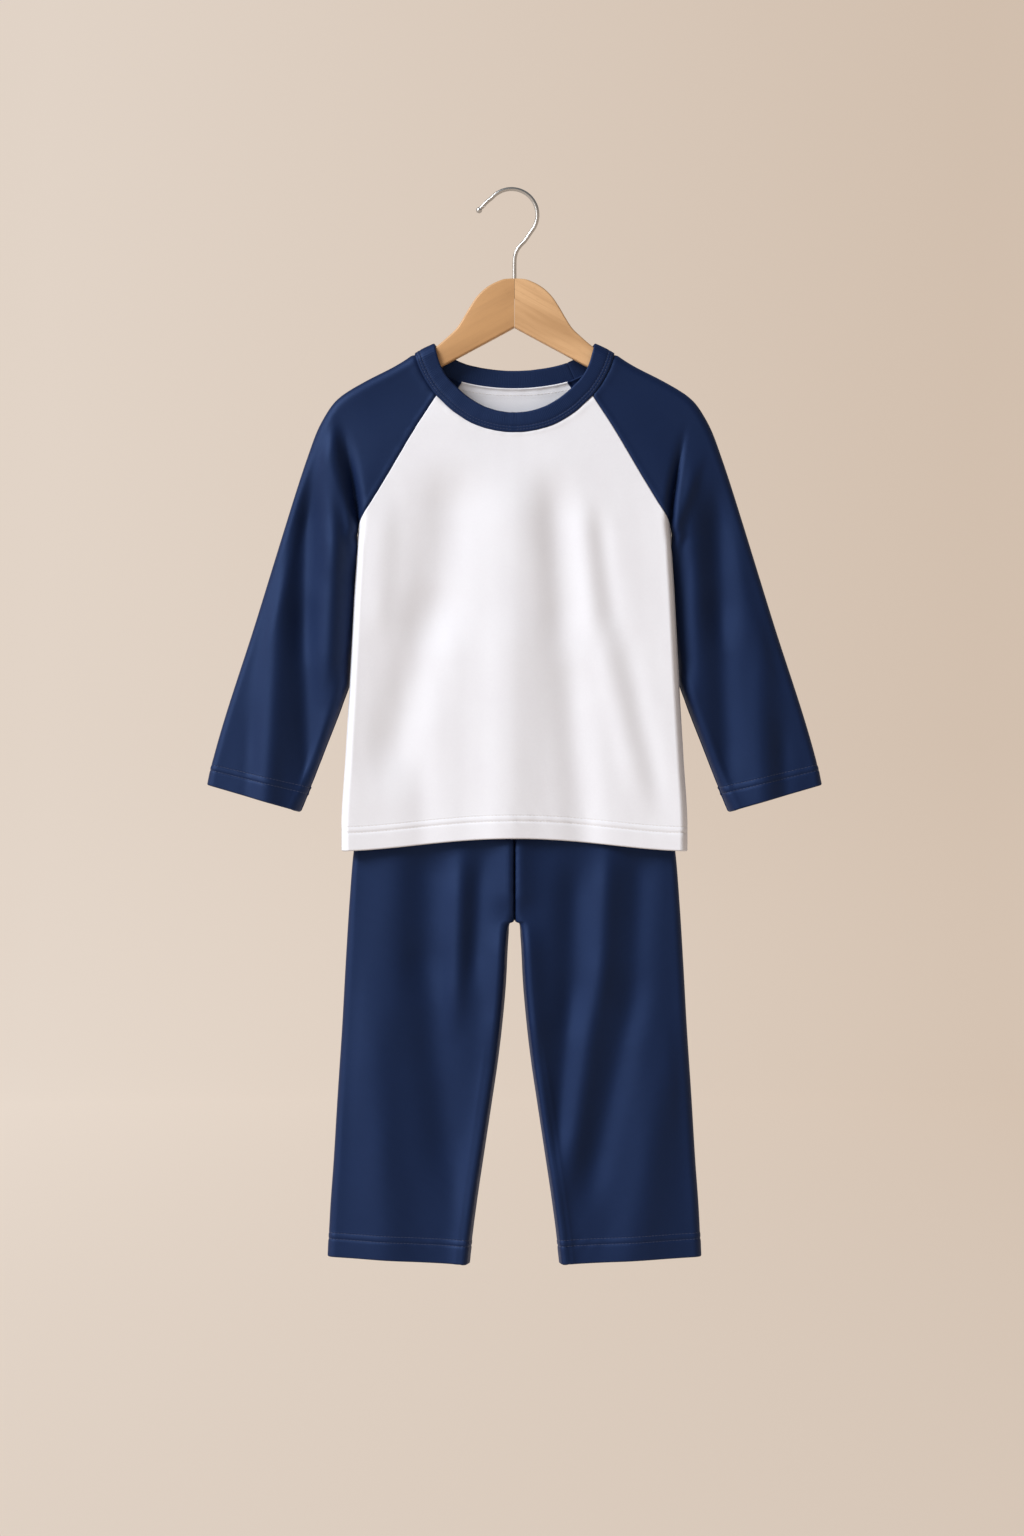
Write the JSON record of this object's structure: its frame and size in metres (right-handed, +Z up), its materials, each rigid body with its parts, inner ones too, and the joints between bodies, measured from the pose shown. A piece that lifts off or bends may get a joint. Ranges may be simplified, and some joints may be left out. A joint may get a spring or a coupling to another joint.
{
  "type": "pyjama set on a hanger",
  "caption": "Child's long-sleeved raglan pyjama top with its trousers hung inside it, on a wooden hanger with a wire hook.",
  "frame": {"origin": "inner side of the crown of the hanger's hook, where the set hangs", "axes": "+Z up; the front of the garment faces -Y; +X to the right as seen from the front"},
  "size_m": [0.555, 0.0368, 0.9697],
  "materials": {
    "white_jersey": "matte",
    "navy_jersey": "matte",
    "navy_rib": "matte",
    "pale_wood": "satin",
    "steel_wire": "satin"
  },
  "bodies": {
    "root": {"top_front": "white_jersey", "top_back": "white_jersey", "sleeve_left": "navy_jersey", "sleeve_right": "navy_jersey", "neckband": "navy_rib", "leg_left": "navy_jersey", "leg_right": "navy_jersey", "waistband": "navy_jersey", "hanger_arm_left": "pale_wood", "hanger_arm_right": "pale_wood", "hook": "steel_wire"}
  },
  "joints": []
}
